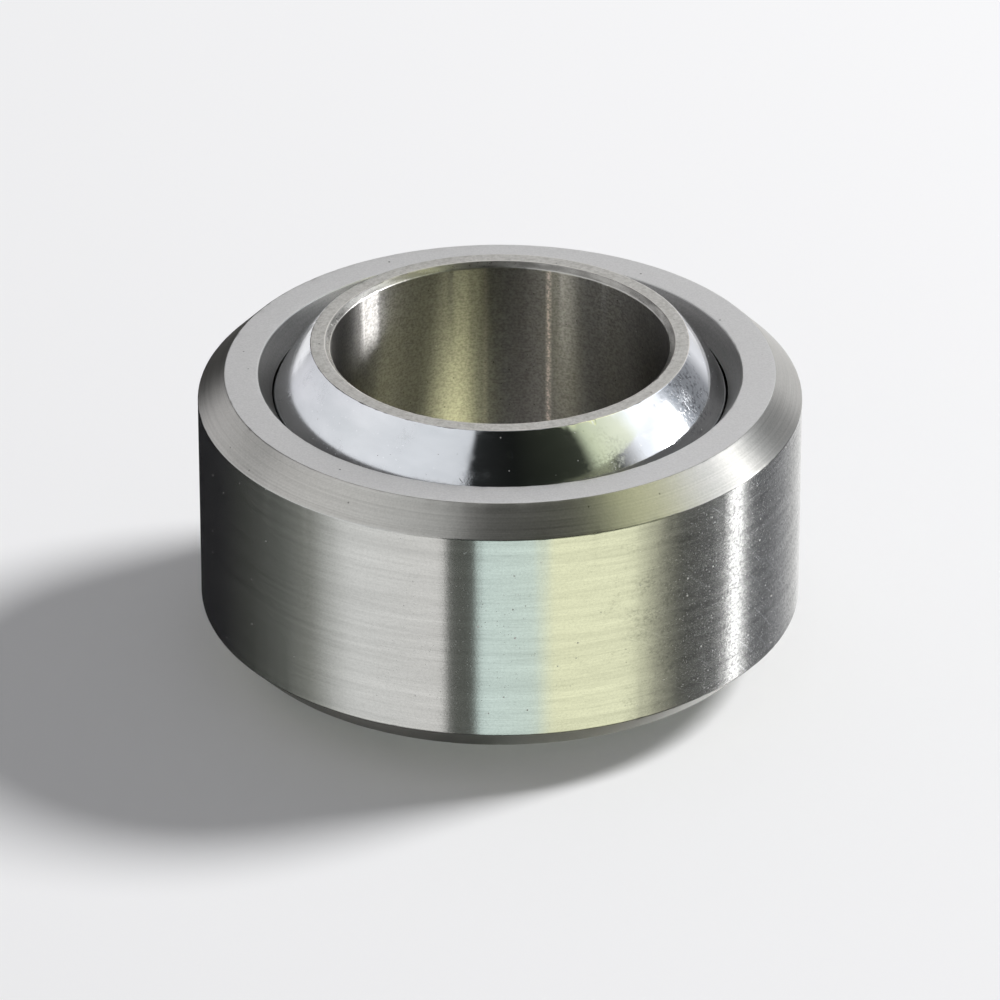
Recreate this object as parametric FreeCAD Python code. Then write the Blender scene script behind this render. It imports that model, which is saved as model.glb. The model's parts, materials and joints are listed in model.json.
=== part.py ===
import FreeCAD, Part
import math
import os

# A radial spherical plain bearing: a bored ball that swivels in a one-piece outer ring.
# The ring is swaged around the ball, so its socket holds the ball for good.
# Millimetres. The origin is the centre of the sphere and +Z runs up the bore.

# The ball, which is the inner ring
BORE_DIA = 22.225       # a 7/8 inch shaft
BALL_WIDTH = 22.225     # over the two end faces
END_LAND = 1.30         # flat end face, from the bore to the sphere
BORE_CHAMFER = 0.35     # at 45 degrees

# The outer ring
RING_WIDTH = 17.856     # over the two faces
RACE_WALL = 3.104       # from the socket to the outside, round the middle
OUTER_CHAMFER = 1.75    # at 45 degrees
MOUTH_DEPTH = 1.40      # from a face down the cone to the lip of the socket
MOUTH_ANGLE = 34.0      # degrees, how far the cone leans from the axis

# The fit between them
RUNNING_CLEARANCE = 0.08    # from the sphere to the socket, along a radius

bore_radius = BORE_DIA / 2
ball_half = BALL_WIDTH / 2
end_radius = bore_radius + END_LAND
sphere_radius = math.hypot(end_radius, ball_half)

ring_half = RING_WIDTH / 2
socket_radius = sphere_radius + RUNNING_CLEARANCE
outer_radius = socket_radius + RACE_WALL
lip_height = ring_half - MOUTH_DEPTH
lip_radius = math.sqrt(socket_radius**2 - lip_height**2)
mouth_radius = lip_radius + MOUTH_DEPTH * math.tan(math.radians(MOUTH_ANGLE))

ORIGIN = FreeCAD.Vector(0, 0, 0)
BORE_AXIS = FreeCAD.Vector(0, 0, 1)


def section_point(radius, height):
    """A point of a half section, which lies in the XZ plane."""
    return FreeCAD.Vector(radius, 0, height)


def end_lines(corners):
    """Straight edges through the corners of the top end, and the same at the bottom end."""
    edges = []
    for side in (1, -1):
        points = [section_point(radius, side * height) for radius, height in corners]
        for start, end in zip(points, points[1:]):
            edges.append(Part.LineSegment(start, end).toShape())
    return edges


def cylinder_wall(radius, height):
    """The straight edge that sweeps a cylinder from -height to +height."""
    return Part.LineSegment(section_point(radius, -height), section_point(radius, height)).toShape()


def sphere_wall(radius, height):
    """The arc about the origin that sweeps a zone of a sphere from -height to +height."""
    end = math.sqrt(radius**2 - height**2)
    arc = Part.Arc(section_point(end, -height), section_point(radius, 0), section_point(end, height))
    return arc.toShape()


def turned(edges):
    """The solid that a closed half section sweeps round the bore axis."""
    outline = Part.Wire(Part.sortEdges(edges)[0])
    return Part.Face(outline).revolve(ORIGIN, BORE_AXIS, 360)


def make_ball():
    """The ball: a zone of a sphere between two flat ends, with a plain bore right through."""
    sphere_edge = (end_radius, ball_half)
    chamfer_edge = (bore_radius + BORE_CHAMFER, ball_half)
    bore_end = (bore_radius, ball_half - BORE_CHAMFER)
    section = end_lines([sphere_edge, chamfer_edge, bore_end])
    section.append(sphere_wall(sphere_radius, ball_half))
    section.append(cylinder_wall(*bore_end))
    return turned(section)


def make_outer_ring():
    """The outer ring: chamfered outside, with a spherical socket that opens in a cone at each face."""
    shoulder = (outer_radius, ring_half - OUTER_CHAMFER)
    face_outside = (outer_radius - OUTER_CHAMFER, ring_half)
    face_inside = (mouth_radius, ring_half)
    lip = (lip_radius, lip_height)
    section = end_lines([shoulder, face_outside, face_inside, lip])
    section.append(cylinder_wall(*shoulder))
    section.append(sphere_wall(socket_radius, lip_height))
    return turned(section)


os.makedirs("parts", exist_ok=True)
make_ball().exportStep("parts/ball.step")
make_outer_ring().exportStep("parts/outer_ring.step")
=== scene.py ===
import json
import math
import bpy
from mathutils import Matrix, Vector


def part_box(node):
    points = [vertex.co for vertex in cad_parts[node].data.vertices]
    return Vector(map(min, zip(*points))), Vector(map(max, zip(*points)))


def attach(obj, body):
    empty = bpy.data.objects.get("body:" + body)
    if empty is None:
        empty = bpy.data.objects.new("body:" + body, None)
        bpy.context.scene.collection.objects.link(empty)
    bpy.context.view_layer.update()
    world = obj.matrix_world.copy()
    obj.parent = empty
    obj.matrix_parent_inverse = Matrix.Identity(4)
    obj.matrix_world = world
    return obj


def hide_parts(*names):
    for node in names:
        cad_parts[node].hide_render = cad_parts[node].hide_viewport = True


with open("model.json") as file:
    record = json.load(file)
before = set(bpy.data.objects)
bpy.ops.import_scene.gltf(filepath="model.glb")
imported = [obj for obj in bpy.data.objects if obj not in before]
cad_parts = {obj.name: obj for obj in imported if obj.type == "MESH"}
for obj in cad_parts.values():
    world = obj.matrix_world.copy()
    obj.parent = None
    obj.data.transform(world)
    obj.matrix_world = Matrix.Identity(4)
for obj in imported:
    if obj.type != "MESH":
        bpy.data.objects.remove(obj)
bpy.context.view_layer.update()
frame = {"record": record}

# The ball, which is the inner ring: one piece of hard steel with a plain bore, turned and ground. Its sphere
# is polished to a mirror, its two ends are ground dull, and its bore is honed. Nothing fixes it: the outer
# ring is swaged round it, and it swivels in there for good.

MM = 0.001


def mount_size(mount_name, size_name):
    """A size in metres, as the record gives it for one of the bearing's mounts."""
    mounts = frame["record"]["mounts"]
    return next(m["dims"][size_name] for m in mounts if m["name"] == mount_name) * MM


ball_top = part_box("ball")[1].z
sphere_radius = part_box("ball")[1].x
bore_radius = mount_size("bore", "r_mm")
bore_top = mount_size("bore", "length_mm") / 2
land_outer_radius = math.sqrt(sphere_radius**2 - ball_top**2)
land_inner_radius = bore_radius + ball_top - bore_top


def straight(start, end, count=3):
    """Points along a straight run of a section, each a radius and a height."""
    return [Vector(start).lerp(Vector(end), i / count) for i in range(count + 1)]


def round_the_centre(radius, low, high, count):
    """Points along a circle about the sphere's centre, from one height to another."""
    first, last = math.asin(low / radius), math.asin(high / radius)
    angles = [first + (last - first) * i / count for i in range(count + 1)]
    return [Vector((radius * math.cos(a), radius * math.sin(a))) for a in angles]


def point_back_from(corner, run, distance):
    """The points of a run before the corner that it ends in, and the point at a distance from that corner."""
    room = 1.2 * distance
    kept = [p for p in run if (p - corner).length > room]
    toward = (kept[-1] - corner).normalized()
    return kept, corner + toward * distance


def closed_section(runs, edge_radius):
    """A closed section with its corners broken: rows of (point, wear, finish), the first one repeated at the
    end. Each run is (points, finish). Wear grows to 1 at the middle of a broken edge and is 0 away from it."""
    rows = []
    edge_steps = 6
    support_share = 0.3         # of the edge's radius, out to the loop that keeps the run beside it flat
    support_wear = 0.15
    for (points, finish), (next_points, next_finish) in zip(runs, runs[1:] + runs[:1]):
        corner = points[-1]
        kept, tangent = point_back_from(corner, points, edge_radius)
        after, next_tangent = point_back_from(corner, next_points[::-1], edge_radius)
        support = tangent + (kept[-1] - tangent).normalized() * edge_radius * support_share
        next_support = next_tangent + (after[-1] - next_tangent).normalized() * edge_radius * support_share
        rows += [(p, 0.0, finish) for p in kept[1:]]
        rows.append((support, support_wear, finish))
        for i in range(edge_steps + 1):
            share = i / edge_steps
            point = tangent.lerp(corner, share).lerp(corner.lerp(next_tangent, share), share)
            wear = 0.4 + 0.6 * math.sin(math.pi * share)
            rows.append((point, wear, finish if share < 0.5 else next_finish))
        rows.append((next_support, support_wear, next_finish))
    return rows + rows[:1]


def node(tree, kind, links=(), **settings):
    """Adds a node to a tree, with its settings, and with its inputs set to values or linked from sockets."""
    made = tree.nodes.new(kind)
    for name, value in settings.items():
        setattr(made, name, value)
    for name, value in dict(links).items():
        socket = made.inputs[name]
        if isinstance(value, bpy.types.NodeSocket):
            tree.links.new(value, socket)
        else:
            socket.default_value = value
    return made


def turned(name, rows, steps, nick_depth, nick_length, seed, finishes):
    """A mesh turned round +Z from a closed section, with nicks in worn edges and a finish for each run."""
    section_mesh = bpy.data.meshes.new(name + "_section")
    points = [(p.x, 0, p.y) for p, _, _ in rows]
    section_mesh.from_pydata(points, [(i, i + 1) for i in range(len(points) - 1)], [])
    wear_of = section_mesh.attributes.new("wear", "FLOAT", "POINT")
    finish_of = section_mesh.attributes.new("finish", "INT", "POINT")
    for i, (p, wear, finish) in enumerate(rows):
        wear_of.data[i].value = wear
        finish_of.data[i].value = finish
    section = bpy.data.objects.new(name + "_section", section_mesh)
    bpy.context.scene.collection.objects.link(section)

    tree = bpy.data.node_groups.new(name + "_turning", "GeometryNodeTree")
    sizes = [("Section", "NodeSocketObject", section), ("Steps round", "NodeSocketInt", steps),
             ("Nick depth", "NodeSocketFloat", nick_depth), ("Nick length", "NodeSocketFloat", nick_length),
             ("Seed", "NodeSocketInt", seed)]
    sizes += [(f"Finish {i}", "NodeSocketMaterial", finish) for i, finish in enumerate(finishes)]
    identifiers = {}
    for label, kind, value in sizes:
        identifiers[label] = tree.interface.new_socket(label, in_out="INPUT", socket_type=kind).identifier
    tree.interface.new_socket("Geometry", in_out="OUTPUT", socket_type="NodeSocketGeometry")
    given = node(tree, "NodeGroupInput").outputs

    # A grid with one column for each step round the axis and one row for each point of the section
    drawn = node(tree, "GeometryNodeObjectInfo", {"Object": given["Section"]}).outputs["Geometry"]
    row_count = node(tree, "GeometryNodeAttributeDomainSize", {"Geometry": drawn}).outputs["Point Count"]
    columns = node(tree, "ShaderNodeMath", {0: given["Steps round"], 1: 1.0}, operation="ADD").outputs[0]
    grid = node(tree, "GeometryNodeMeshGrid",
                {"Vertices X": columns, "Vertices Y": row_count}).outputs["Mesh"]
    index = node(tree, "GeometryNodeInputIndex").outputs[0]

    def of_the_section(attribute, kind, row):
        field = node(tree, "GeometryNodeInputNamedAttribute", {"Name": attribute}, data_type=kind).outputs[0]
        return node(tree, "GeometryNodeSampleIndex", {"Geometry": drawn, "Value": field, "Index": row},
                    data_type=kind).outputs[0]

    face_rows = node(tree, "ShaderNodeMath", {0: row_count, 1: 1.0}, operation="SUBTRACT").outputs[0]
    face_row = node(tree, "ShaderNodeMath", {0: index, 1: face_rows}, operation="MODULO").outputs[0]
    grid = node(tree, "GeometryNodeStoreNamedAttribute",
                {"Geometry": grid, "Name": "finish", "Value": of_the_section("finish", "INT", face_row)},
                data_type="INT", domain="FACE").outputs[0]
    row = node(tree, "ShaderNodeMath", {0: index, 1: row_count}, operation="MODULO").outputs[0]
    grid = node(tree, "GeometryNodeStoreNamedAttribute",
                {"Geometry": grid, "Name": "wear", "Value": of_the_section("wear", "FLOAT", row)},
                data_type="FLOAT", domain="POINT").outputs[0]
    quotient = node(tree, "ShaderNodeMath", {0: index, 1: row_count}, operation="DIVIDE").outputs[0]
    column = node(tree, "ShaderNodeMath", {0: quotient}, operation="FLOOR").outputs[0]
    turns = node(tree, "ShaderNodeMath", {0: column, 1: given["Steps round"]}, operation="DIVIDE").outputs[0]
    angle = node(tree, "ShaderNodeMath", {0: turns, 1: math.tau}, operation="MULTIPLY").outputs[0]
    where = node(tree, "GeometryNodeInputPosition").outputs[0]
    drawn_point = node(tree, "GeometryNodeSampleIndex", {"Geometry": drawn, "Value": where, "Index": row},
                       data_type="FLOAT_VECTOR").outputs[0]
    turned_point = node(tree, "ShaderNodeVectorRotate", {"Vector": drawn_point, "Angle": angle},
                        rotation_type="Z_AXIS").outputs[0]
    turned_mesh = node(tree, "GeometryNodeSetPosition",
                       {"Geometry": grid, "Position": turned_point}).outputs[0]
    merge_distance = 0.001 * MM
    closed = node(tree, "GeometryNodeMergeByDistance",
                  {"Geometry": turned_mesh, "Distance": merge_distance}).outputs[0]
    closed = node(tree, "GeometryNodeFlipFaces", {"Mesh": closed}).outputs[0]

    # Nicks: where the noise is high, a worn edge is pushed in along its normal
    nick_starts, nick_full = 0.47, 0.75
    per_nick = node(tree, "ShaderNodeMath", {0: 1.0, 1: given["Nick length"]}, operation="DIVIDE").outputs[0]
    noise = node(tree, "ShaderNodeTexNoise", {"W": given["Seed"], "Scale": per_nick, "Detail": 3.0},
                 noise_dimensions="4D").outputs[0]
    nicked = node(tree, "ShaderNodeMapRange",
                  {"Value": noise, "From Min": nick_starts, "From Max": nick_full},
                  interpolation_type="SMOOTHSTEP").outputs[0]
    wear = node(tree, "GeometryNodeInputNamedAttribute", {"Name": "wear"}, data_type="FLOAT").outputs[0]
    worn = node(tree, "ShaderNodeMath", {0: nicked, 1: wear}, operation="MULTIPLY").outputs[0]
    depth = node(tree, "ShaderNodeMath", {0: worn, 1: given["Nick depth"]}, operation="MULTIPLY").outputs[0]
    inward = node(tree, "ShaderNodeMath", {0: depth, 1: -1.0}, operation="MULTIPLY").outputs[0]
    normal = node(tree, "GeometryNodeInputNormal").outputs[0]
    offset = node(tree, "ShaderNodeVectorMath", {0: normal, "Scale": inward}, operation="SCALE").outputs[0]
    shape = node(tree, "GeometryNodeSetPosition", {"Geometry": closed, "Offset": offset}).outputs[0]
    shape = node(tree, "GeometryNodeSetShadeSmooth", {"Geometry": shape}).outputs[0]
    shape = node(tree, "GeometryNodeRealizeInstances", {"Geometry": shape}).outputs[0]
    shape = node(tree, "GeometryNodeSetMaterial",
                 {"Geometry": shape, "Material": given["Finish 0"]}).outputs[0]
    finish_code = node(tree, "GeometryNodeInputNamedAttribute", {"Name": "finish"},
                       data_type="INT").outputs[0]
    for i in range(1, len(finishes)):
        here = node(tree, "FunctionNodeCompare", {2: finish_code, 3: i}, data_type="INT", operation="EQUAL")
        shape = node(tree, "GeometryNodeSetMaterial", {"Geometry": shape, "Selection": here.outputs[0],
                                                       "Material": given[f"Finish {i}"]}).outputs[0]
    node(tree, "NodeGroupOutput", {"Geometry": shape})

    blank = bpy.data.objects.new(name + "_blank", bpy.data.meshes.new(name + "_blank"))
    bpy.context.scene.collection.objects.link(blank)
    turning = blank.modifiers.new("turning", "NODES")
    turning.node_group = tree
    for label, _, value in sizes:
        turning[identifiers[label]] = value
    evaluated = blank.evaluated_get(bpy.context.evaluated_depsgraph_get())
    mesh = bpy.data.meshes.new_from_object(evaluated)
    piece = bpy.data.objects.new(name, mesh)
    bpy.context.scene.collection.objects.link(piece)
    for scratch in (blank, section):
        bpy.data.objects.remove(scratch)
    return piece


def linear(hex_colour):
    """An sRGB hex colour as linear red, green, blue and alpha."""
    parts = [int(hex_colour[i:i + 2], 16) / 255 for i in (1, 3, 5)]
    return [p / 12.92 if p <= 0.04045 else ((p + 0.055) / 1.055) ** 2.4 for p in parts] + [1.0]


def metal(name, **sockets):
    """A metallic material, its Principled shader and the object's own coordinates in millimetres."""
    material = bpy.data.materials.new(name)
    material.use_nodes = True
    tree = material.node_tree
    shader = tree.nodes["Principled BSDF"]
    shader.inputs["Metallic"].default_value = 1.0
    for label, value in sockets.items():
        shader.inputs[label.replace("_", " ")].default_value = value
    place = node(tree, "ShaderNodeTexCoord").outputs["Object"]
    place_mm = node(tree, "ShaderNodeVectorMath", {0: place, "Scale": 1 / MM}, operation="SCALE").outputs[0]
    return material, tree, shader, place_mm


def marks(tree, place_mm, along, across, detail=2.0, radial=False):
    """Noise drawn out round the axis: marks about that long and wide in millimetres. On a flat end the width
    is taken along the radius, elsewhere along the axis."""
    apart = node(tree, "ShaderNodeSeparateXYZ", {0: place_mm}).outputs
    width = apart["Z"]
    if radial:
        flat = node(tree, "ShaderNodeCombineXYZ", {"X": apart["X"], "Y": apart["Y"]}).outputs[0]
        width = node(tree, "ShaderNodeVectorMath", {0: flat}, operation="LENGTH").outputs["Value"]
    unit = node(tree, "ShaderNodeCombineXYZ", {"X": apart["X"], "Y": apart["Y"], "Z": width}).outputs[0]
    scale = (1 / along, 1 / along, 1 / across)
    drawn_out = node(tree, "ShaderNodeVectorMath", {0: unit, 1: scale}, operation="MULTIPLY").outputs[0]
    return node(tree, "ShaderNodeTexNoise", {"Vector": drawn_out, "Scale": 1.0, "Detail": detail}).outputs[0]


def flecks(tree, place_mm, spacing, radius, share, turn=(0, 0, 0)):
    """Scattered spots, 1 inside and 0 outside: a share of the places that are a spacing apart have one. The
    spacing in millimetres is for X, Y and Z of the turned coordinates, and the radius is a part of it."""
    turned_place = node(tree, "ShaderNodeVectorRotate", {"Vector": place_mm, "Rotation": turn},
                        rotation_type="EULER_XYZ").outputs[0]
    scale = tuple(1 / s for s in spacing)
    cells = node(tree, "ShaderNodeVectorMath", {0: turned_place, 1: scale}, operation="MULTIPLY").outputs[0]
    spots = node(tree, "ShaderNodeTexVoronoi", {"Vector": cells, "Scale": 1.0})
    inside = node(tree, "ShaderNodeMapRange", {"Value": spots.outputs["Distance"], "From Min": radius * 1.3,
                                               "From Max": radius * 0.7}).outputs[0]
    draw = node(tree, "ShaderNodeSeparateXYZ", {0: spots.outputs["Color"]}).outputs["X"]
    chosen = node(tree, "ShaderNodeMath", {0: draw, 1: share}, operation="LESS_THAN").outputs[0]
    return node(tree, "ShaderNodeMath", {0: inside, 1: chosen}, operation="MULTIPLY").outputs[0]


def between(tree, value, low, high, from_low=0.3, from_high=0.7):
    """A noise value stretched to run from low to high."""
    return node(tree, "ShaderNodeMapRange", {"Value": value, "From Min": from_low, "From Max": from_high,
                                             "To Min": low, "To Max": high}).outputs[0]


def combined(tree, operation, first, second):
    """Two values joined by a sum, a product or the like."""
    return node(tree, "ShaderNodeMath", {0: first, 1: second}, operation=operation).outputs[0]


def blend(tree, share, low, high, kind="FLOAT"):
    """From one value or colour to another, by a share from 0 to 1."""
    number = {"FLOAT": 0, "RGBA": 2}[kind]
    made = node(tree, "ShaderNodeMix", {0: share}, data_type=kind)
    for name, value in (("A", low), ("B", high)):
        socket = [s for s in made.inputs if s.name == name][number]
        if isinstance(value, bpy.types.NodeSocket):
            tree.links.new(value, socket)
        else:
            socket.default_value = value
    return [s for s in made.outputs if s.name == "Result"][number]


def at(azimuth, radius, height):
    """A place in millimetres, by its azimuth from the camera's side round to the right, in degrees."""
    angle = math.radians(azimuth)
    return (radius * math.sin(angle), -radius * math.cos(angle), height)


def patch(tree, place_mm, centre, reach, edge=0.35):
    """1 in a worn area about a centre and 0 outside it, with a ragged edge. The reach is its half size in
    millimetres, and the edge is how much of it the fading takes."""
    away = node(tree, "ShaderNodeVectorMath", {0: place_mm, 1: centre}, operation="DISTANCE").outputs["Value"]
    distance = combined(tree, "MULTIPLY", away, 1 / reach)
    ragged = between(tree, marks(tree, place_mm, along=1.3, across=0.9, detail=5.0), -edge, edge)
    distance = combined(tree, "ADD", distance, ragged)
    return between(tree, distance, 1.0, 0.0, 1.0 - edge, 1.0 + edge)


def relief(tree, shader, height, depth_mm):
    """Raises a shader's surface by a height from 0 to 1 times a depth."""
    bump = node(tree, "ShaderNodeBump", {"Height": height, "Distance": depth_mm * MM, "Strength": 1.0})
    tree.links.new(bump.outputs[0], shader.inputs["Normal"])


def finish(tree, shader, colour, roughness, rubbed, rubbed_colour, rubbed_roughness, dust=None):
    """Links a metal's colour and roughness, with values of their own on rubbed edges, and dust over both."""
    dust_colour = linear("#d9d8d4")
    dust_roughness = 0.8
    worn = node(tree, "ShaderNodeAttribute", attribute_name="wear").outputs["Fac"]
    edge = between(tree, worn, 0.0, rubbed, 0.2, 0.75)
    colour = blend(tree, edge, colour, linear(rubbed_colour), "RGBA")
    roughness = blend(tree, edge, roughness, rubbed_roughness)
    if dust is not None:
        colour = blend(tree, dust, colour, dust_colour, "RGBA")
        roughness = blend(tree, dust, roughness, dust_roughness)
        tree.links.new(combined(tree, "SUBTRACT", 1.0, dust), shader.inputs["Metallic"])
    tree.links.new(colour, shader.inputs["Base Color"])
    tree.links.new(roughness, shader.inputs["Roughness"])


# Polished hard steel: a mirror, a little bluish, with hair lines round the axis from the last polishing and
# short scratches from handling. It is hazy and finely scratched where it has rubbed, scuffed at one place
# beside its end, and dusty in front. At another place it is darkened in mottled spots, a painted dark
# reflection.
polished_sphere, tree, shader, place = metal("polished_bearing_steel", Base_Color=linear("#cfd2d5"),
                                             Roughness=0.08)
hair_lines = marks(tree, place, along=7.0, across=0.06, detail=3.0)
cloud = between(tree, marks(tree, place, along=2.4, across=2.4, detail=3.0), 0.0, 1.0, 0.55, 0.72)
hazy = patch(tree, place, at(-62, 15.0, 8.0), 10.0, edge=0.30)
scuffed = patch(tree, place, at(66, 13.4, 10.0), 1.9, edge=0.5)
# Painted dark reflection: the place round which the sphere's colour is darkened in mottled spots
painted_reflection_place = patch(tree, place, at(29, 14.6, 8.0), 1.7, edge=0.7)
fine_grain = marks(tree, place, along=0.20, across=0.22, detail=3.0)
coarse_grain = marks(tree, place, along=0.24, across=0.26, detail=5.0)
mottle = combined(tree, "MULTIPLY", cloud, between(tree, fine_grain, 0.0, 1.0))
scratches = combined(tree, "MAXIMUM", flecks(tree, place, (9.0, 0.5, 0.5), 0.07, 0.16, (0.5, 0.3, 0.2)),
                     flecks(tree, place, (0.5, 9.0, 0.5), 0.07, 0.16, (0.9, 0.2, 0.5)))
scratches = combined(tree, "MAXIMUM", scratches,
                     flecks(tree, place, (0.5, 0.5, 7.0), 0.08, 0.2, (0.4, 0.7, 0.0)))
hazy_scratches = combined(tree, "MAXIMUM", flecks(tree, place, (0.3, 4.0, 0.3), 0.10, 0.35, (0.7, 0.1, 0.9)),
                          flecks(tree, place, (0.3, 0.3, 5.0), 0.10, 0.3, (0.3, 0.8, 0.4)))
hazy_scratches = combined(tree, "MULTIPLY", hazy_scratches, hazy)
scratches = combined(tree, "MAXIMUM", scratches, hazy_scratches)
dings = flecks(tree, place, (1.4, 1.4, 4.0), 0.09, 0.25, (0.3, 0.2, 0.0))
blotches = combined(tree, "MULTIPLY", scuffed, between(tree, coarse_grain, 0.0, 1.0, 0.49, 0.60))
spots = combined(tree, "MULTIPLY", painted_reflection_place, between(tree, fine_grain, 0.0, 1.0, 0.44, 0.60))
sheen = blend(tree, between(tree, marks(tree, place, along=4.0, across=1.5), 0, 1), linear("#ced0d3"),
              linear("#dcdde0"), "RGBA")
sheen = blend(tree, combined(tree, "MULTIPLY", hazy_scratches, 0.7), sheen, linear("#f6f7f9"), "RGBA")
# The painted dark reflection: the colour is darkened in those mottled spots
sheen = blend(tree, combined(tree, "MULTIPLY", spots, 0.45), sheen, linear("#a4a4a0"), "RGBA")
sheen = blend(tree, combined(tree, "MULTIPLY", blotches, 0.75), sheen, linear("#44464c"), "RGBA")
rough = combined(tree, "ADD", between(tree, hair_lines, 0.05, 0.09), combined(tree, "MULTIPLY", mottle, 0.20))
rough = combined(tree, "ADD", rough, combined(tree, "MULTIPLY", scratches, 0.12))
rough = combined(tree, "ADD", rough, combined(tree, "MULTIPLY", hazy, between(tree, fine_grain, 0.09, 0.16)))
marred = combined(tree, "MAXIMUM", spots, blotches)
rough = combined(tree, "ADD", rough, combined(tree, "MULTIPLY", marred, 0.10))
specks = flecks(tree, place, (0.7, 0.7, 0.5), 0.055, 0.45, (0.4, 0.2, 0.7))
specks = combined(tree, "MULTIPLY", specks, patch(tree, place, at(10, 14.6, 8.0), 4.0))
specks = combined(tree, "MAXIMUM", specks, flecks(tree, place, (0.8, 0.8, 0.8), 0.042, 0.4))
finish(tree, shader, sheen, rough, rubbed=0.6, rubbed_colour="#dedfe0", rubbed_roughness=0.20, dust=specks)
dents = combined(tree, "MAXIMUM", combined(tree, "MULTIPLY", scratches, 0.3), dings)
dents = combined(tree, "MAXIMUM", dents, combined(tree, "MULTIPLY", blotches, 0.5))
fine = combined(tree, "ADD", combined(tree, "MULTIPLY", hair_lines, 0.08),
                combined(tree, "MULTIPLY", mottle, -0.30))
relief(tree, shader, combined(tree, "SUBTRACT", fine, dents), 0.007)

# Ground steel end: dull and warm grey, granular to the eye, with fine rings from its grinding, pits and paler
# edges
ground_end, tree, shader, place = metal("ground_steel_end", Base_Color=linear("#bdbbb6"), Roughness=0.45)
grain = marks(tree, place, along=0.14, across=0.14, detail=3.0)
rings = marks(tree, place, along=4.0, across=0.09, detail=3.0, radial=True)
surface = combined(tree, "ADD", combined(tree, "MULTIPLY", grain, 0.6),
                   combined(tree, "MULTIPLY", rings, 0.4))
granules = marks(tree, place, along=0.32, across=0.32, detail=4.0)
pits = flecks(tree, place, (0.6, 0.6, 0.6), 0.11, 0.3)
colour = blend(tree, between(tree, surface, 0, 1, 0.35, 0.65), linear("#bbb9b5"), linear("#d5d3cf"), "RGBA")
colour = blend(tree, between(tree, granules, 0.0, 0.4, 0.45, 0.70), colour, linear("#8e8b84"), "RGBA")
colour = blend(tree, combined(tree, "MULTIPLY", pits, 0.7), colour, linear("#4c4a46"), "RGBA")
finish(tree, shader, colour, between(tree, surface, 0.38, 0.46), rubbed=0.85, rubbed_colour="#e6e2dc",
       rubbed_roughness=0.28, dust=flecks(tree, place, (0.6, 0.6, 0.6), 0.07, 0.25))
relief(tree, shader, combined(tree, "SUBTRACT", surface, pits), 0.006)

# Greasy steel chamfer: the bore's chamfer is smoother than the end, so it mirrors soft bands, dimmed by old
# grease, and pale burrs are left along it at two places
greasy_chamfer, tree, shader, place = metal("greasy_steel_chamfer", Base_Color=linear("#96948e"),
                                            Roughness=0.30)
grain = marks(tree, place, along=0.14, across=0.14, detail=3.0)
grease = marks(tree, place, along=1.8, across=0.3, detail=5.0)
colour = blend(tree, between(tree, grease, 0, 1, 0.35, 0.65), linear("#7c7a76"), linear("#a5a39e"), "RGBA")
torn = combined(tree, "MAXIMUM", patch(tree, place, at(-108, 11.2, 10.8), 1.6),
                patch(tree, place, at(104, 11.2, 10.8), 1.3))
burrs = combined(tree, "MULTIPLY", flecks(tree, place, (0.30, 0.30, 0.30), 0.22, 0.5), torn)
finish(tree, shader, colour, between(tree, grain, 0.26, 0.34), rubbed=0.6, rubbed_colour="#cfcdc9",
       rubbed_roughness=0.30, dust=burrs)
relief(tree, shader, grain, 0.003)

# Honed steel bore: it smears every reflection along the axis into soft bands, with a speckled grain from the
# hone. Two fine dotted lines along the axis are paler, one clear and one faint.
honed_bore, tree, shader, place = metal("honed_steel_bore", Base_Color=linear("#9b9a95"), Roughness=0.30,
                                        Anisotropic=0.95, Anisotropic_Rotation=0.25)
rings = marks(tree, place, along=0.9, across=0.10, detail=3.0)
grain = marks(tree, place, along=0.17, across=0.15, detail=3.0)
surface = combined(tree, "ADD", combined(tree, "MULTIPLY", grain, 0.75),
                   combined(tree, "MULTIPLY", rings, 0.25))
colour = blend(tree, between(tree, surface, 0, 1, 0.38, 0.62), linear("#8c8a88"), linear("#acaaa7"), "RGBA")
pits = flecks(tree, place, (0.55, 0.55, 0.55), 0.09, 0.35)
colour = blend(tree, combined(tree, "MULTIPLY", pits, 0.7), colour, linear("#34332f"), "RGBA")
across_the_axis = node(tree, "ShaderNodeVectorMath", {0: place, 1: (1, 1, 0)},
                       operation="MULTIPLY").outputs[0]
dotted = between(tree, marks(tree, place, along=0.16, across=0.14, detail=3.0), 0.30, 1.0, 0.44, 0.58)
for azimuth, strength in ((163, 1.0), (-175, 0.25)):
    away = node(tree, "ShaderNodeVectorMath", {0: across_the_axis, 1: at(azimuth, bore_radius / MM, 0)},
                operation="DISTANCE").outputs["Value"]
    paler_line = combined(tree, "MULTIPLY", between(tree, away, 1.0, 0.0, 0.04, 0.26), dotted)
    colour = blend(tree, combined(tree, "MULTIPLY", paler_line, strength), colour, linear("#fff2ee"), "RGBA")
finish(tree, shader, colour, between(tree, grain, 0.28, 0.32), rubbed=0.5, rubbed_colour="#c4c2ba",
       rubbed_roughness=0.30, dust=flecks(tree, place, (0.9, 0.9, 0.9), 0.05, 0.3))
relief(tree, shader, combined(tree, "SUBTRACT", surface, pits), 0.0013)

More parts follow.
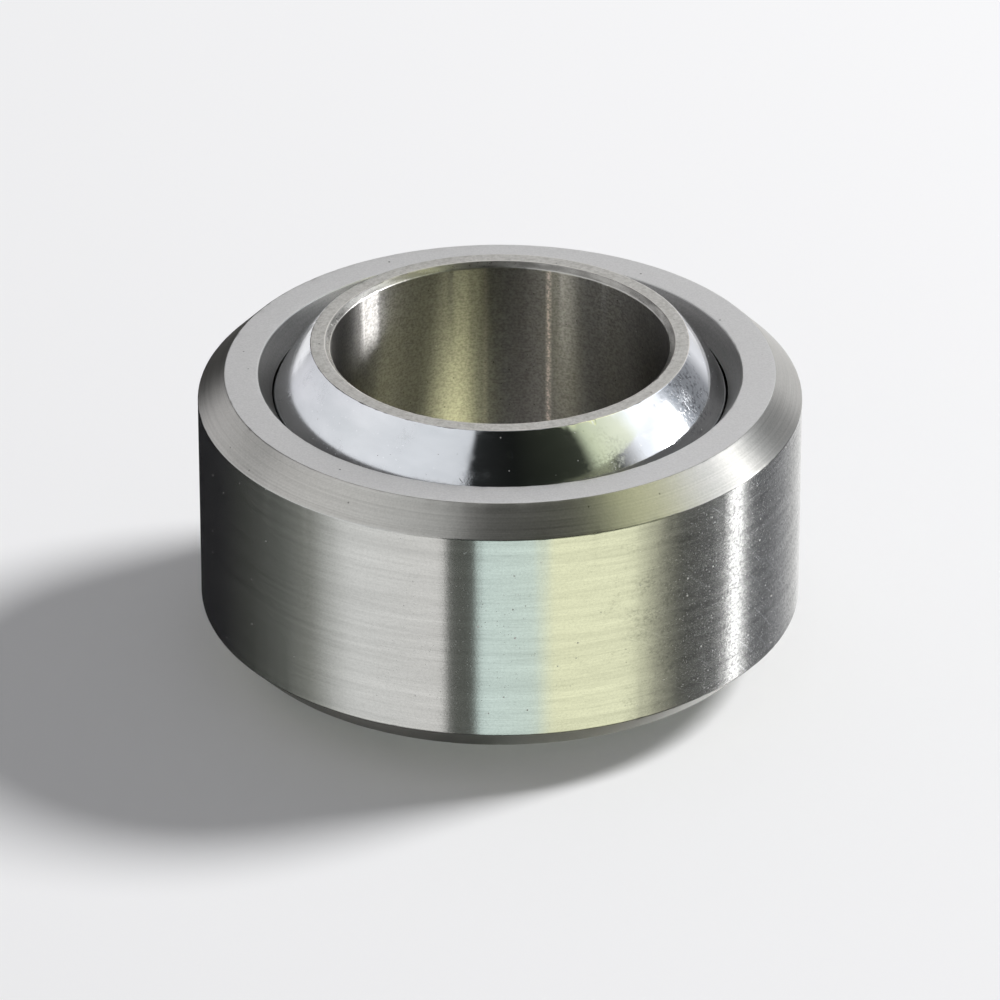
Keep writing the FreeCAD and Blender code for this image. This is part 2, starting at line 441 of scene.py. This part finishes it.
ball_section = closed_section([
    (straight((bore_radius, -bore_top), (bore_radius, bore_top)), 2),
    (straight((bore_radius, bore_top), (land_inner_radius, ball_top)), 3),
    (straight((land_inner_radius, ball_top), (land_outer_radius, ball_top)), 1),
    (round_the_centre(sphere_radius, -ball_top, ball_top, 44)[::-1], 0),
    (straight((land_outer_radius, -ball_top), (land_inner_radius, -ball_top)), 1),
    (straight((land_inner_radius, -ball_top), (bore_radius, -bore_top)), 3),
], edge_radius=0.06 * MM)
ball = turned("bearing_ball", ball_section, steps=720, nick_depth=0.025 * MM, nick_length=0.6 * MM, seed=3,
              finishes=[polished_sphere, ground_end, honed_bore, greasy_chamfer])
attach(ball, "ball")
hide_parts("ball")

# The outer ring: one piece of steel, turned, with its outside ground to fit a housing. Its mouth at each end
# is pressed in over the ball, which leaves a dull cone round a narrow black gap.

outside_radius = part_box("outer_ring")[1].x
face_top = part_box("outer_ring")[1].z
shoulder_top = mount_size("outside", "length_mm") / 2
face_outer_radius = outside_radius - (face_top - shoulder_top)
running_clearance = 0.08 * MM
mouth_depth = 1.40 * MM
mouth_angle = math.radians(34)
socket_radius = sphere_radius + running_clearance
lip_top = face_top - mouth_depth
lip_radius = math.sqrt(socket_radius**2 - lip_top**2)
face_inner_radius = lip_radius + mouth_depth * math.tan(mouth_angle)

# Ground steel outside: the wheel's fine strokes round the axis smear every reflection along the axis into
# bands, with pits and dust. One side is scuffed all over. Its edges are dulled and painted darker, a painted
# shade, but for one stretch of the upper one. The strokes are drawn about twice as coarse as they are, to
# show.
ground_outside, tree, shader, place = metal("ground_steel_outside", Base_Color=linear("#c6c6c3"),
                                            Roughness=0.18, Anisotropic=0.95, Anisotropic_Rotation=0.25)
strokes = marks(tree, place, along=2.4, across=0.075, detail=4.0)
broad_rings = marks(tree, place, along=14.0, across=0.5, detail=4.0)
grain = marks(tree, place, along=0.15, across=0.13, detail=3.0)
coarse_grain = marks(tree, place, along=0.20, across=0.16, detail=6.0)
smears = marks(tree, place, along=3.0, across=0.45, detail=5.0)
scuffed = patch(tree, place, at(66, 19.8, 0.0), 12.0, edge=0.25)
pits = flecks(tree, place, (0.9, 0.9, 0.9), 0.05, 0.22)
scars = combined(tree, "MULTIPLY", scuffed, between(tree, coarse_grain, 0.0, 1.0, 0.46, 0.62))
diagonal = marks(tree, node(tree, "ShaderNodeVectorRotate", {"Vector": place, "Rotation": (0.9, 0.0, 0.6)},
                            rotation_type="EULER_XYZ").outputs[0], along=5.0, across=0.12, detail=3.0)
scratches = combined(tree, "MULTIPLY", between(tree, diagonal, 0.0, 1.0, 0.62, 0.72), scuffed)
colour = blend(tree, between(tree, broad_rings, 0, 1), linear("#bfbfbd"), linear("#cfcfcd"), "RGBA")
colour = blend(tree, between(tree, strokes, 0, 0.14, 0.48, 0.75), colour, linear("#80807c"), "RGBA")
colour = blend(tree, between(tree, grain, 0, 0.16, 0.4, 0.7), colour, linear("#7e7e7c"), "RGBA")
colour = blend(tree, combined(tree, "MULTIPLY", scars, 0.40), colour, linear("#4c4c4e"), "RGBA")
smeared = combined(tree, "MULTIPLY", scuffed, between(tree, smears, 0.0, 0.25, 0.45, 0.65))
colour = blend(tree, smeared, colour, linear("#5c5c5e"), "RGBA")
colour = blend(tree, combined(tree, "MULTIPLY", scratches, 0.5), colour, linear("#ececee"), "RGBA")
colour = blend(tree, combined(tree, "MULTIPLY", pits, 0.7), colour, linear("#5a5a58"), "RGBA")
specks = combined(tree, "MAXIMUM", flecks(tree, place, (0.8, 0.8, 0.8), 0.08, 0.32),
                  combined(tree, "MULTIPLY", flecks(tree, place, (0.24, 0.24, 0.24), 0.18, 0.45), 0.22))
dusty = combined(tree, "MAXIMUM", scuffed, patch(tree, place, at(-7, 19.8, -1.0), 6.0, edge=0.4))
specks = combined(tree, "MULTIPLY", specks, dusty)
rough = combined(tree, "ADD", between(tree, strokes, 0.16, 0.20), combined(tree, "MULTIPLY", scars, 0.05))
# Painted shade: the edges' colour is darkened everywhere but in this stretch of the upper edge
edge_stretch_without_painted_shade = patch(tree, place, at(-38, 19.5, 8.6), 5.5, edge=0.4)
finish(tree, shader, colour, rough, rubbed=blend(tree, edge_stretch_without_painted_shade, 0.5, 0.0), rubbed_colour="#84847e",
       rubbed_roughness=0.22,
       dust=combined(tree, "MAXIMUM", flecks(tree, place, (0.9, 0.9, 0.9), 0.034, 0.3), specks))
surface = combined(tree, "ADD", combined(tree, "MULTIPLY", strokes, 0.5),
                   combined(tree, "MULTIPLY", grain, 0.5))
dents = combined(tree, "ADD", pits, combined(tree, "MULTIPLY", scars, 0.06))
relief(tree, shader, combined(tree, "SUBTRACT", surface, dents), 0.0026)

# Turned steel chamfer: the tool's fine even lines, slightly rough and warm
turned_chamfer, tree, shader, place = metal("turned_steel_chamfer", Base_Color=linear("#b8b6b1"),
                                            Roughness=0.34, Anisotropic=0.8, Anisotropic_Rotation=0.25)
tool_lines = marks(tree, place, along=12.0, across=0.075, detail=2.0)
grain = marks(tree, place, along=0.13, across=0.13)
surface = combined(tree, "ADD", combined(tree, "MULTIPLY", grain, 0.4),
                   combined(tree, "MULTIPLY", tool_lines, 0.6))
pits = flecks(tree, place, (1.1, 1.1, 1.1), 0.055, 0.3)
colour = blend(tree, between(tree, surface, 0, 1, 0.35, 0.65), linear("#aaa8a3"), linear("#c1bfba"), "RGBA")
colour = blend(tree, combined(tree, "MULTIPLY", pits, 0.7), colour, linear("#4a4945"), "RGBA")
finish(tree, shader, colour, between(tree, tool_lines, 0.30, 0.37), rubbed=0.5, rubbed_colour="#b4b2ae",
       rubbed_roughness=0.24, dust=flecks(tree, place, (1.0, 1.0, 1.0), 0.040, 0.3))
relief(tree, shader, surface, 0.003)

# Satin steel face: an even fine grain with no direction that the eye can see, and a few dark pits
satin_face, tree, shader, place = metal("satin_steel_face", Base_Color=linear("#cfcfce"), Roughness=0.42)
grain = marks(tree, place, along=0.12, across=0.12, detail=3.0)
pits = flecks(tree, place, (1.3, 1.3, 1.3), 0.055, 0.3)
colour = blend(tree, between(tree, grain, 0, 1), linear("#d2d1d1"), linear("#e0dfdf"), "RGBA")
colour = blend(tree, combined(tree, "MULTIPLY", pits, 0.8), colour, linear("#3a3937"), "RGBA")
finish(tree, shader, colour, between(tree, grain, 0.40, 0.45), rubbed=0.5, rubbed_colour="#dededc",
       rubbed_roughness=0.30, dust=flecks(tree, place, (1.0, 1.0, 1.0), 0.036, 0.3))
relief(tree, shader, combined(tree, "SUBTRACT", grain, pits), 0.003)

# Pressed steel mouth and socket: dull and darker, as the press left it
pressed_mouth, tree, shader, place = metal("pressed_steel_mouth", Base_Color=linear("#868584"),
                                           Roughness=0.45)
rings = marks(tree, place, along=6.0, across=0.10, detail=3.0)
grain = marks(tree, place, along=0.14, across=0.14)
surface = combined(tree, "ADD", combined(tree, "MULTIPLY", grain, 0.6),
                   combined(tree, "MULTIPLY", rings, 0.4))
colour = blend(tree, between(tree, surface, 0, 1, 0.35, 0.65), linear("#7c7c7a"), linear("#918f8e"), "RGBA")
finish(tree, shader, colour, between(tree, surface, 0.42, 0.50), rubbed=0.8, rubbed_colour="#c8c8c6",
       rubbed_roughness=0.30)
relief(tree, shader, surface, 0.003)

ring_section = closed_section([
    (straight((outside_radius, shoulder_top), (outside_radius, -shoulder_top)), 0),
    (straight((outside_radius, -shoulder_top), (face_outer_radius, -face_top)), 1),
    (straight((face_outer_radius, -face_top), (face_inner_radius, -face_top)), 2),
    (straight((face_inner_radius, -face_top), (lip_radius, -lip_top)), 3),
    (round_the_centre(socket_radius, -lip_top, lip_top, 30), 3),
    (straight((lip_radius, lip_top), (face_inner_radius, face_top)), 3),
    (straight((face_inner_radius, face_top), (face_outer_radius, face_top)), 2),
    (straight((face_outer_radius, face_top), (outside_radius, shoulder_top)), 1),
], edge_radius=0.07 * MM)
outer_ring = turned("bearing_outer_ring", ring_section, steps=720, nick_depth=0.02 * MM, nick_length=0.8 * MM,
                    seed=8, finishes=[ground_outside, turned_chamfer, satin_face, pressed_mouth])
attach(outer_ring, "outer_ring")
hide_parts("outer_ring")

# The floor: a plain pale sheet under the bearing, which takes its shadow. The metal doesn't mirror it: the
# tent's lower walls take its place there.

floor_mesh = bpy.data.meshes.new("floor")
reach = 3.0
floor_mesh.from_pydata([(-reach, -reach, -ball_top), (reach, -reach, -ball_top), (reach, reach, -ball_top),
                        (-reach, reach, -ball_top)], [], [(0, 1, 2, 3)])
floor = bpy.data.objects.new("floor", floor_mesh)
bpy.context.scene.collection.objects.link(floor)
matte_white = bpy.data.materials.new("matte_white_sheet")
matte_white.use_nodes = True
matte_white.node_tree.nodes["Principled BSDF"].inputs["Base Color"].default_value = linear("#f3f3f4")
matte_white.node_tree.nodes["Principled BSDF"].inputs["Roughness"].default_value = 1.0
matte_white.node_tree.nodes["Principled BSDF"].inputs["Specular IOR Level"].default_value = 0.0
floor_mesh.materials.append(matte_white)
floor.visible_glossy = False

# The light: one soft lamp and a pale surround, set so that a matte face turned up renders about as written,
# two windows for the ball alone, and a tent of panels that only the metal sees. The tent's bands were set to
# follow the bands measured on the photograph's metal.

tent_radius = 0.9


def bands(tree, azimuth, stops):
    """A colour for each azimuth. Its stops are (azimuth in degrees, hex colour, strength), and azimuth 0 is
    toward the camera, with the right positive."""
    ramp = node(tree, "ShaderNodeValToRGB", {"Fac": azimuth})
    ramp.color_ramp.interpolation = "LINEAR"
    marks_on_ramp = ramp.color_ramp.elements
    while len(marks_on_ramp) > 1:
        marks_on_ramp.remove(marks_on_ramp[-1])
    for i, (degrees, hex_colour, strength) in enumerate(stops):
        place = (degrees + 180) / 360
        stop = marks_on_ramp[0] if i == 0 else marks_on_ramp.new(place)
        stop.position = place
        stop.color = [c * strength for c in linear(hex_colour)[:3]] + [1.0]
    return ramp.outputs["Color"]


def tent_wall(name, low, high, stops, left=-180, right=180, radius=tent_radius):
    """A part of a sphere round the bearing, between two elevations and two azimuths in degrees, with bands of
    colour round it. Only the metal sees it: it lights nothing else and casts no shadow."""
    columns = 96
    rows = 8
    elevations = [math.radians(low + (high - low) * r / rows) for r in range(rows + 1)]
    azimuths = [math.radians(left + (right - left) * i / columns) for i in range(columns + 1)]
    points = [(radius * math.cos(e) * math.sin(a), -radius * math.cos(e) * math.cos(a), radius * math.sin(e))
              for e in elevations for a in azimuths]
    corners = [r * (columns + 1) + i for r in range(rows) for i in range(columns)]
    faces = [(c, c + 1, c + columns + 2, c + columns + 1) for c in corners]
    mesh = bpy.data.meshes.new(name)
    mesh.from_pydata(points, [], faces)
    wall = bpy.data.objects.new(name, mesh)
    bpy.context.scene.collection.objects.link(wall)
    material = bpy.data.materials.new(name)
    material.use_nodes = True
    tree = material.node_tree
    tree.nodes.remove(tree.nodes["Principled BSDF"])
    place = node(tree, "ShaderNodeTexCoord").outputs["Object"]
    apart = node(tree, "ShaderNodeSeparateXYZ", {0: place}).outputs
    toward_camera = node(tree, "ShaderNodeMath", {0: apart["Y"], 1: -1.0}, operation="MULTIPLY").outputs[0]
    angle = node(tree, "ShaderNodeMath", {0: apart["X"], 1: toward_camera}, operation="ARCTAN2").outputs[0]
    azimuth = node(tree, "ShaderNodeMapRange",
                   {"Value": angle, "From Min": -math.pi, "From Max": math.pi}).outputs[0]
    light = node(tree, "ShaderNodeEmission",
                 {"Color": bands(tree, azimuth, stops), "Strength": 1.0}).outputs[0]
    tree.links.new(light, tree.nodes["Material Output"].inputs["Surface"])
    material.cycles.emission_sampling = "NONE"
    mesh.materials.append(material)
    wall.visible_camera = False
    wall.visible_diffuse = False
    wall.visible_shadow = False


# The base and the low wall. The ground outside mirrors the low one: from the back by the left it goes from
# black to a pale panel, and then come a grey gap, a pale green and a pale yellow panel, a second grey gap
# with a bright strip in it, and grey that grows to white at the back.
tent_wall("tent_base", -89.9, -55, [(-180, "#2c2c2c", 1.0)])
tent_wall("tent_low", -55, -7, [
    (-180, "#18181a", 1.0), (-130, "#222224", 1.0), (-110, "#424440", 1.0), (-90, "#686b66", 1.0),
    (-75, "#9a9c96", 1.0), (-71, "#c4c6c2", 1.0), (-58, "#f0f1f0", 1.15), (-21, "#f4f3f1", 1.15),
    (-20, "#6c6f6a", 1.0), (-9, "#6c6f6a", 1.0), (-8, "#d8e9e5", 1.5), (13, "#d8e8e0", 1.5),
    (20, "#f2f4d0", 1.55), (50, "#f0f2d0", 1.55), (62, "#c0c0ac", 1.0), (72, "#6e6f6a", 1.0),
    (97, "#666768", 1.0), (99, "#ffffff", 5.0), (102, "#ffffff", 5.0), (104, "#828486", 1.0),
    (122, "#86878a", 1.0), (136, "#b6b7ba", 1.0), (150, "#e8e8e8", 1.0), (180, "#ffffff", 1.5)])

# The middle wall, which the sides of the chamfer and of the sphere mirror: pale at the left, dark in front, a
# bright panel at the right, and pale again at the back
tent_wall("tent_middle", -7, 28, [
    (-180, "#d8d8d8", 1.0), (-172, "#343434", 1.0), (-152, "#383838", 1.0), (-146, "#8c8c8e", 1.0),
    (-138, "#ececf0", 1.05), (-90, "#f0f2f4", 1.15), (-46, "#f0f3f6", 1.10), (-21, "#ececec", 1.05),
    (-20, "#3c403e", 1.0), (-6, "#3c403e", 1.0), (16, "#44483e", 1.0), (24, "#64675a", 1.0),
    (44, "#70745f", 1.0), (58, "#a0a488", 1.0), (64, "#4c4e48", 1.0), (74, "#e8e9ea", 1.0),
    (80, "#f8fbff", 1.4), (105, "#f8fbff", 1.5), (112, "#ccd1d8", 1.0), (122, "#8e9195", 1.0),
    (136, "#a4a6aa", 1.0), (146, "#f4f5f8", 1.1), (180, "#d8d8d8", 1.0)])

# The upper two walls, which the front of the chamfer and of the sphere mirror. Both are pale at the left,
# with a dark gap behind that, and dark in front. At the right the first has a bluish white panel, and the
# higher one has a pale yellow panel and a grey gap.
left_and_front = [
    (-180, "#f4f5f5", 1.05), (-162, "#f4f4f6", 1.15), (-152, "#303032", 1.0), (-126, "#303032", 1.0),
    (-114, "#b0b0b4", 1.0), (-106, "#ececf0", 1.16), (-90, "#f4f5f7", 1.20), (-46, "#f0f3f6", 1.10),
    (-19, "#e8ebee", 1.02), (-16.5, "#2a2c2c", 1.0), (8, "#1c1e1c", 1.0), (36, "#34382f", 1.0),
    (48, "#40443a", 1.0), (54, "#d6dfbe", 1.0)]
tent_wall("tent_upper", 28, 48, left_and_front + [
    (58, "#e2eac8", 1.10), (77, "#eef3dc", 1.25), (90, "#f4f8ff", 1.8), (128, "#f4f8ff", 1.8),
    (136, "#909194", 1.0), (152, "#a0a1a4", 1.0), (164, "#fafafc", 1.2), (180, "#f4f5f5", 1.05)])
tent_wall("tent_high", 48, 66, left_and_front + [
    (62, "#e4eab8", 1.2), (76, "#e8eaba", 1.6), (98, "#ecebc0", 2.0), (106, "#f0f0d8", 1.9),
    (116, "#606264", 1.0), (152, "#606264", 1.0), (166, "#f0f0f2", 1.0), (180, "#f4f5f5", 1.05)])
tent_wall("tent_top", 66, 89.9, [(-180, "#9c9c9c", 1.0)])

# A small bowl under the bore, below the floor, which the metal doesn't see. The bore's wall mirrors it: grey
# at the left and in front, bright yellow at the right.
tent_wall("panel_under_the_bore", -89, -47, [
    (-180, "#161616", 1.0), (-125, "#161616", 1.0), (-100, "#504e4e", 1.0), (-78, "#a6a2a2", 1.0),
    (-46, "#a09c9c", 1.0), (-12, "#a09c9a", 1.0), (-8, "#76706c", 1.0), (34, "#7c7a70", 1.0),
    (42, "#f0f0c0", 5.0), (54, "#f4f4c0", 7.4), (75, "#e4e4b8", 5.8), (90, "#6c6e60", 1.0),
    (98, "#1a1a18", 1.0), (125, "#161616", 1.0), (180, "#161616", 1.0)], radius=0.0163)

# A narrow strip at the right, for the brightest spot on the sphere
tent_wall("strip_light", 8, 22, [
    (-180, "#ffffff", 1.5), (93, "#ffffff", 1.5), (97, "#ffffff", 12.0), (104, "#ffffff", 12.0),
    (109, "#ffffff", 1.2)], left=93, right=109, radius=0.86)


def soft_lamp(name, azimuth, elevation, distance, size, energy):
    """A round soft lamp that faces the bearing from a direction in degrees and that the camera can't see."""
    azimuth, elevation = math.radians(azimuth), math.radians(elevation)
    lamp_data = bpy.data.lights.new(name, "AREA")
    lamp_data.shape = "DISK"
    lamp_data.size = size
    lamp_data.energy = energy
    made = bpy.data.objects.new(name, lamp_data)
    toward = Vector((math.sin(azimuth), -math.cos(azimuth), math.tan(elevation))).normalized()
    made.location = toward * distance
    made.rotation_euler = toward.to_track_quat("Z", "Y").to_euler()
    made.visible_camera = False
    bpy.context.scene.collection.objects.link(made)
    return made


lamp = soft_lamp("soft_lamp", 112, 40, distance=1.3, size=0.37, energy=17.6)
lamp.visible_glossy = False
lit_by_windows = bpy.data.collections.new("lit_by_windows")
lit_by_windows.objects.link(ball)
for window in (soft_lamp("right_window", 95, 14, distance=0.8, size=0.09, energy=8.0),
               soft_lamp("left_window", -156, -8, distance=0.8, size=0.42, energy=0.45)):
    window.visible_diffuse = False
    window.light_linking.receiver_collection = lit_by_windows

# The surround: as written where the camera or a mirror sees it, and a third as strong where it lights
strength_as_light = 0.33
world = bpy.data.worlds.new("pale_surround")
bpy.context.scene.world = world
world.use_nodes = True
background = world.node_tree.nodes["Background"]
background.inputs["Color"].default_value = linear("#f7f7f9")
ray = node(world.node_tree, "ShaderNodeLightPath").outputs
seen = combined(world.node_tree, "MAXIMUM", ray["Is Camera Ray"], ray["Is Glossy Ray"])
seen = combined(world.node_tree, "MAXIMUM", seen, ray["Is Transmission Ray"])
strength = between(world.node_tree, seen, strength_as_light, 1.0, 0.0, 1.0)
world.node_tree.links.new(strength, background.inputs["Strength"])

# The camera: not rolled, at the photograph's angle to the bearing, through a long lens.

sight_elevation = math.radians(28.85)
camera_distance = 0.54
aim_below_centre = 0.8 * MM
outside_in_picture = 0.60       # of the picture's width
sensor_width_mm = 36.0
camera_data = bpy.data.cameras.new("camera")
camera_data.sensor_width = sensor_width_mm
camera_data.lens = sensor_width_mm * outside_in_picture * camera_distance / (2 * outside_radius)
camera = bpy.data.objects.new("camera", camera_data)
back = Vector((0, -math.cos(sight_elevation), math.sin(sight_elevation)))
camera.location = back * camera_distance - Vector((0, 0, aim_below_centre))
camera.rotation_mode = "QUATERNION"
camera.rotation_quaternion = back.to_track_quat("Z", "Y")
bpy.context.scene.collection.objects.link(camera)
bpy.context.scene.camera = camera
bpy.context.scene.view_settings.view_transform = "Standard"
